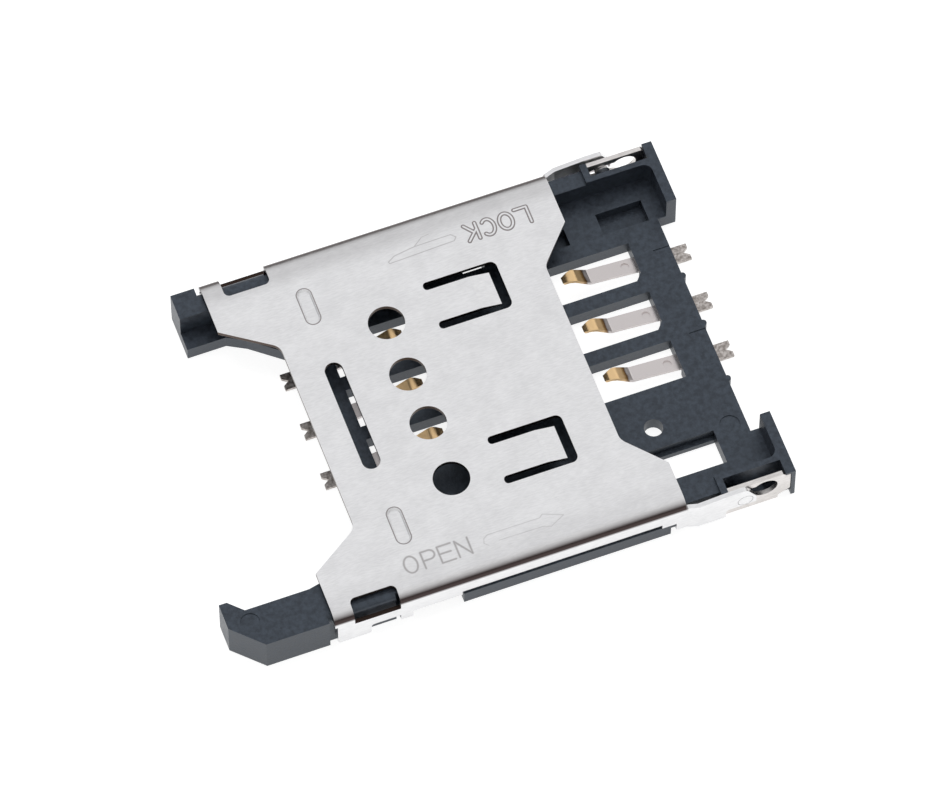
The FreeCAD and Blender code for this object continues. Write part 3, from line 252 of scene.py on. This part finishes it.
def plated_strip(name):
    """Gold where X, shifted by a little noise, lies within a stretch; the ramp's brown middle is painted
    shade.
    """
    material, tree, shader, place = new_material(name)
    along = add(tree, "ShaderNodeSeparateXYZ", {0: place}).outputs["X"]
    cloud = add(tree, "ShaderNodeTexNoise", {"Vector": place, "Scale": 1 / 0.25, "Detail": 4.0})
    speck = add(tree, "ShaderNodeTexNoise", {"Vector": place, "Scale": 1 / 0.12, "Detail": 3.0})
    wander = add(tree, "ShaderNodeMath", {0: cloud.outputs[0], 1: 0.16, 2: along}, operation="MULTIPLY_ADD")
    gilded = [band(tree, wander.outputs[0], low - 0.04, low + 0.4, high - 0.04, high + 0.2)
              for low, high in GOLD_MM]
    share = add(tree, "ShaderNodeMath", {0: gilded[0], 1: gilded[1]}, operation="MAXIMUM")
    # painted shade: brown and darker gold at the borders of the gold
    plating = add(tree, "ShaderNodeValToRGB", {0: share.outputs[0]},
                  stops=((0.0, "#D2CCCB"), (0.3, "#6E563C"), (0.62, "#A67E4E"), (1.0, "#E8C695")))
    dipped = add(tree, "ShaderNodeValToRGB", {0: speck.outputs[0]},
                 stops=((0.36, "#8F8883"), (0.66, "#CCC6C2")))
    right = add(tree, "ShaderNodeMapRange", {0: along, 1: TAIL_RIGHT_MM, 2: TAIL_RIGHT_MM + 0.1})
    left = add(tree, "ShaderNodeMapRange", {0: along, 1: TAIL_LEFT_MM, 2: TAIL_LEFT_MM - 0.1})
    tail = add(tree, "ShaderNodeMath", {0: right.outputs[0], 1: left.outputs[0]}, operation="MAXIMUM")
    tone = add(tree, "ShaderNodeMix", {0: tail.outputs[0], 6: plating.outputs["Color"],
                                       7: dipped.outputs["Color"]}, data_type="RGBA")
    tree.links.new(tone.outputs[2], shader.inputs["Base Color"])
    rough = add(tree, "ShaderNodeMapRange", {0: cloud.outputs[0], 1: 0.3, 2: 0.7, 3: 0.28, 4: 0.38})
    tree.links.new(rough.outputs[0], shader.inputs["Roughness"])
    shader.inputs["Metallic"].default_value = 1.0
    return material


contact_metal = plated_strip("tinned_gilded_bronze")

# %% [markdown]
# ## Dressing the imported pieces
#
# Only the materials change here. The first word of a piece's name says what it is made of; the
# pins are pressed out of the lid's arms and wear its steel.

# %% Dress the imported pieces
FINISHES = {"housing": charcoal_plastic, "lid": lid_steel, "hinge_pin": lid_steel,
            "bracket": bracket_steel, "contact": contact_metal}
for name, piece in nodes.items():
    finish = next(FINISHES[kind] for kind in FINISHES if name.startswith(kind))
    piece.data.materials.clear()
    piece.data.materials.append(finish)
    print(name, "wears", finish.name)

# %% [markdown]
# ## The pressed words
#
# The press that cuts the lid also marks it with the two ways to slide it. Each word is a relief:
# on a fine grid the distance to the nearest stroke says how high the metal stands. Strokes that
# cross join by themselves, which separate strips wouldn't do. A letter is drawn in a square of
# its own, from 0 to 1 both ways, and then set at its place and width on the plate.

# %% Strokes of the letters
ROUND = np.linspace(0, 1, 33)


def oval(start, end, across=1.0, middle=(0.5, 0.5), high=1.0):
    """Part of an oval: the cosine and sine of an angle that runs from start to end, in turns."""
    angle = 2 * np.pi * (start + ROUND * (end - start))
    return np.column_stack([middle[0] + across / 2 * np.cos(angle), middle[1] + high / 2 * np.sin(angle)])


LETTERS = {
    "L": [[(0, 1), (0, 0), (1, 0)]],
    "O": [oval(0, 1)],
    "C": [oval(0.13, 0.87)],
    "K": [[(0, 1), (0, 0)], [(0.95, 1), (0, 0.36)], [(0.3, 0.56), (1, 0)]],
    "P": [[(0, 0), (0, 1), (0.6, 1)], oval(0.25, -0.25, 0.8, (0.6, 0.73), 0.54), [(0.6, 0.46), (0, 0.46)]],
    "E": [[(1, 1), (0, 1), (0, 0), (1, 0)], [(0, 0.54), (0.86, 0.54)]],
    "N": [[(0, 0), (0, 1), (1, 0), (1, 1)]],
}


def word(letters, foot, high, way):
    """Strokes in millimetres: each letter's left edge plus its width times the share across, and the
    foot line plus the height times the share up, both counted along way, which is -1 when turned."""
    return [np.array([left, foot]) + way * np.array([wide, high]) * np.array(line)
            for letter, left, wide in letters for line in LETTERS[letter]]


OPEN_WORD = word((("O", -4.63, 0.57), ("P", -3.80, 0.56), ("E", -3.06, 0.60), ("N", -2.28, 0.57)),
                 -7.64, 0.79, 1)
LOCK_WORD = word((("L", 6.22, 0.55), ("O", 5.47, 0.57), ("C", 4.64, 0.55), ("K", 3.87, 0.51)),
                 7.27, 0.78, -1)
OPEN_ARROW = [np.array([(-0.95, -7.53), (-1.12, -7.38), (-1.05, -7.16), (-0.85, -7.04), (1.5, -7.05),
                        (1.66, -6.92), (2.5, -7.26), (1.82, -7.6), (1.47, -7.48), (-0.46, -7.45)])]
LOCK_ARROW = [np.array([(-0.2, 6.65), (2.77, 6.75), (2.9, 6.9), (2.72, 7.09), (1.05, 7.07), (0.11, 6.94),
                        (-0.24, 6.74), (-0.2, 6.65)]),
              np.array([(1.05, 7.07), (1.5, 7.4), (1.85, 7.44)])]


BEADS_MM = ((-4.18, 5.89), (-4.18, -5.33))
RIM_LONG, RIM_WIDE = 1.82, 0.67


def bead_rim(middle):
    """A round of half the width, its two halves moved apart along Y until the whole has its length."""
    turned = oval(0.01, 1.01, RIM_WIDE, (0, 0), RIM_WIDE)
    ends = np.sign(turned[:, 1]) * (RIM_LONG - RIM_WIDE) / 2
    return np.array(middle) + turned + np.column_stack([0 * ends, ends])


# %% Relief on a grid
def relief(name, lines, wide_mm, edge_mm, rise_mm, steel, cell_mm=0.012):
    """Raised marks: rise times the share by which the distance to the nearest stroke falls short
    of half its width, ramped over the slope of its edge, and just below the plate beyond it."""
    ends = np.vstack(lines)
    margin = wide_mm / 2 + edge_mm
    x, y = (np.arange(ends[:, i].min() - margin, ends[:, i].max() + margin, cell_mm) for i in (0, 1))
    points = np.stack(np.meshgrid(x, y), axis=-1)
    nearest = np.full(points.shape[:2], np.inf)
    for line in lines:
        for a, b in zip(line[:-1], line[1:]):
            run = b - a
            share = np.clip(((points - a) @ run) / (run @ run), 0, 1)
            nearest = np.minimum(nearest, np.linalg.norm(points - a - share[..., None] * run, axis=-1))
    sunk = 0.25
    rise = np.clip((wide_mm / 2 - nearest) / edge_mm, -sunk, 1) * rise_mm
    top = np.dstack([points, LID_TOP_MM + rise])
    base = np.dstack([points, np.full(rise.shape, LID_TOP_MM - sunk * rise_mm)])
    number = np.arange(rise.size).reshape(rise.shape)
    quads = np.stack([number[:-1, :-1], number[:-1, 1:], number[1:, 1:], number[1:, :-1]], axis=-1)
    quads = quads[rise.ravel()[quads].max(axis=-1) > -sunk * rise_mm + 1e-9]
    mesh = bpy.data.meshes.new(name)
    mesh.from_pydata((np.vstack([top.reshape(-1, 3), base.reshape(-1, 3)]) * MM).tolist(), [],
                     np.vstack([quads, quads[:, ::-1] + rise.size]).tolist())
    close(mesh)
    mesh.materials.append(steel)
    piece = bpy.data.objects.new(name, mesh)
    bpy.context.scene.collection.objects.link(piece)
    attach(piece, "lid")
    print(name, len(mesh.polygons), "faces")


def close(mesh):
    """Joins points that lie on each other, drops loose ones and leaves a closed shell."""
    shell = bmesh.new()
    shell.from_mesh(mesh)
    loose = [point for point in shell.verts if not point.link_faces]
    bmesh.ops.delete(shell, geom=loose, context="VERTS")
    bmesh.ops.remove_doubles(shell, verts=shell.verts, dist=1e-9)
    shell.to_mesh(mesh)
    shell.free()


# %% [markdown]
# The marks are pressed with punches. The flanks of a stroke get a painted shade, darker than
# the plate, so the steel of the marks darkens by height: OPEN barely rises and reads as one soft
# grey line, while LOCK has a bright flat top between two dark flanks. The same painted shade draws
# a dull line round the two beads.

# %% Words and arrows
FLANK_SHADE_MM = tuple(LID_TOP_MM + rise for rise in (0.0, 0.0022, 0.011, 0.014))
mark_steel, tree, shader, place = rolled_steel("pressed_stainless_marks", "#F0F0F1", "#E3E3E4", 0.32)
height = add(tree, "ShaderNodeSeparateXYZ", {0: place}).outputs["Z"]
# painted shade on the flanks of the marks, set by height above the plate
over(tree, shader, band(tree, height, *FLANK_SHADE_MM), "#8B8585")
relief("word_open", OPEN_WORD, 0.135, 0.055, 0.0015, mark_steel)
relief("word_lock", LOCK_WORD, 0.21, 0.075, 0.0145, mark_steel)
relief("arrow_open", OPEN_ARROW, 0.07, 0.03, 0.0007, mark_steel)
relief("arrow_lock", LOCK_ARROW, 0.07, 0.03, 0.0010, mark_steel)
relief("bead_rims", [bead_rim(middle) for middle in BEADS_MM], 0.06, 0.025, 0.0035, mark_steel)

# %% [markdown]
# ## The stage
#
# A white table in a white room. A flat satin plate shows the part of the room that mirrors the
# camera, and a white one would be lost on a white ground, so a pale grey card hangs there. A low
# ring of dark cards stands round the table: every fold and pressed edge of the lid turns the
# view down to it, which draws the dark lines that make bright metal readable.
#
# The white of the table and the room is what a camera, a mirror or glass sees of them, and is
# kept apart from the light that they give to the object, which stays at a plain level.


# %% What is seen and what lights
def seen(tree):
    """1 for a ray that comes from the camera, a glossy surface or glass, and 0 for plain lighting."""
    path = add(tree, "ShaderNodeLightPath")
    direct = add(tree, "ShaderNodeMath", {0: path.outputs["Is Camera Ray"], 1: path.outputs["Is Glossy Ray"]},
                 operation="MAXIMUM")
    return add(tree, "ShaderNodeMath", {0: direct.outputs[0], 1: path.outputs["Is Transmission Ray"]},
               operation="MAXIMUM").outputs[0]


def staged(name, points, faces, material):
    """A mesh of the stage, which isn't part of the socket."""
    mesh = bpy.data.meshes.new(name)
    mesh.from_pydata(points, [], faces)
    mesh.materials.append(material)
    obj = bpy.data.objects.new(name, mesh)
    bpy.context.scene.collection.objects.link(obj)
    return obj


# %% White table
paper = bpy.data.materials.new("white_paper")
paper.use_nodes = True
tree = paper.node_tree
tree.nodes.clear()
matt = add(tree, "ShaderNodeBsdfDiffuse", {"Color": light("#E8E8E8")})
shaded = add(tree, "ShaderNodeBsdfDiffuse", {"Color": light("#AAAAAA")})
glow = add(tree, "ShaderNodeEmission", {"Color": light("#FFFFFF"), "Strength": 0.87})
white = add(tree, "ShaderNodeAddShader", {0: shaded.outputs[0], 1: glow.outputs[0]})
chosen = add(tree, "ShaderNodeMixShader", {0: seen(tree), 1: matt.outputs[0], 2: white.outputs[0]})
add(tree, "ShaderNodeOutputMaterial", {"Surface": chosen.outputs[0]})
SPREAD = 3.0
FLOOR_Z = -0.04 * MM
staged("floor", [(-SPREAD, -SPREAD, FLOOR_Z), (SPREAD, -SPREAD, FLOOR_Z), (SPREAD, SPREAD, FLOOR_Z),
                 (-SPREAD, SPREAD, FLOOR_Z)], [(0, 1, 2, 3)], paper)

# %% White room
world = bpy.data.worlds.new("studio")
bpy.context.scene.world = world
world.use_nodes = True
tree = world.node_tree
tree.nodes.clear()
fill = add(tree, "ShaderNodeBackground", {"Color": light("#FFFFFF"), "Strength": 0.45})
white = add(tree, "ShaderNodeBackground", {"Color": light("#FFFFFF"), "Strength": 1.0})
chosen = add(tree, "ShaderNodeMixShader", {0: seen(tree), 1: fill.outputs[0], 2: white.outputs[0]})
add(tree, "ShaderNodeOutputWorld", {"Surface": chosen.outputs[0]})


# %% Places round the table
MIRROR = (160, 62)
OVERHEAD = 0.6


def direction(azimuth, elevation):
    """Unit vector from the socket: sine and minus cosine of the azimuth, drawn in by the elevation."""
    across, up = math.radians(azimuth), math.radians(elevation)
    return np.array([math.sin(across) * math.cos(up), -math.cos(across) * math.cos(up), math.sin(up)])


def stand(obj, place, aim):
    """Puts a camera, lamp or card at a place and turns it to look at another."""
    obj.location = Vector(place)
    obj.rotation_mode = "QUATERNION"
    obj.rotation_quaternion = (Vector(aim) - obj.location).to_track_quat("-Z", "Y")


# %% Cards
def card(name, points, faces, colour, strength):
    """A card that only polished surfaces see, with a set brightness of its own."""
    material = bpy.data.materials.new(name)
    material.use_nodes = True
    tree = material.node_tree
    tree.nodes.clear()
    glow = add(tree, "ShaderNodeEmission", {"Color": light(colour), "Strength": strength})
    add(tree, "ShaderNodeOutputMaterial", {"Surface": glow.outputs[0]})
    obj = staged(name, points, faces, material)
    obj.visible_camera = obj.visible_diffuse = obj.visible_shadow = False
    return obj


CARD_RADIUS, CARD_HIGH = 0.9, 0.18
angle = np.linspace(0, 2 * np.pi, 97)[:-1]
ring = np.column_stack([np.cos(angle), np.sin(angle)]) * CARD_RADIUS
top = np.full(len(angle), CARD_HIGH)
step = np.arange(len(angle))
after = (step + 1) % len(angle)
card("dark_cards", np.vstack([np.column_stack([ring, 0 * top]), np.column_stack([ring, top])]).tolist(),
     np.column_stack([step, step + len(angle), after + len(angle), after]).tolist(), "#48433F", 1.0)
HALF_WIDE, HALF_LONG = 0.27, 0.42
plate_card = card("plate_card", [(-HALF_WIDE, -HALF_LONG, 0), (HALF_WIDE, -HALF_LONG, 0),
                                 (HALF_WIDE, HALF_LONG, 0), (-HALF_WIDE, HALF_LONG, 0)],
                  [(0, 1, 2, 3)], "#EFEFF0", 1.0)
stand(plate_card, direction(*MIRROR) * OVERHEAD, (0, 0, 0))
print("ring of cards", CARD_HIGH, "m high,", CARD_RADIUS, "m away")

# %% [markdown]
# ## Camera and lamp
#
# The camera stands far off with a long lens, as for a catalogue picture, so that the edges stay
# nearly parallel. One large soft box hangs where the plate mirrors the camera, high behind the
# socket, and the room fills in the rest. Polished surfaces don't see the box itself: the pale
# card stands in for its mirror image, at a brightness that the metal can carry.

# %% Camera
AIM_MM = np.array([1.25, 0.10, 0.0])
AWAY_MM = 351.35
camera_data = bpy.data.cameras.new("camera")
camera_data.lens = 311.7
camera_data.sensor_width = 36.0
camera_data.clip_start, camera_data.clip_end = 0.01, 20.0
camera = bpy.data.objects.new("camera", camera_data)
bpy.context.scene.collection.objects.link(camera)
aim = AIM_MM * MM
stand(camera, aim + direction(-20.35, 61.79) * AWAY_MM * MM, aim)
bpy.context.scene.camera = camera
print("camera at", [round(value, 4) for value in camera.location])


# %% Soft box
def soft_box(name, azimuth, elevation, away, size, glow):
    """Square area lamp; its power is its glow times pi times its area."""
    lamp = bpy.data.lights.new(name, "AREA")
    lamp.shape, lamp.size = "SQUARE", size
    lamp.energy = glow * math.pi * size * size
    obj = bpy.data.objects.new(name, lamp)
    bpy.context.scene.collection.objects.link(obj)
    stand(obj, direction(azimuth, elevation) * away, (0, 0, 0))
    obj.visible_camera = obj.visible_glossy = False
    print(name, round(lamp.energy, 3), "W")


soft_box("overhead_box", *MIRROR, OVERHEAD, 0.6, 1.9)
bpy.context.scene.view_settings.view_transform = "Standard"
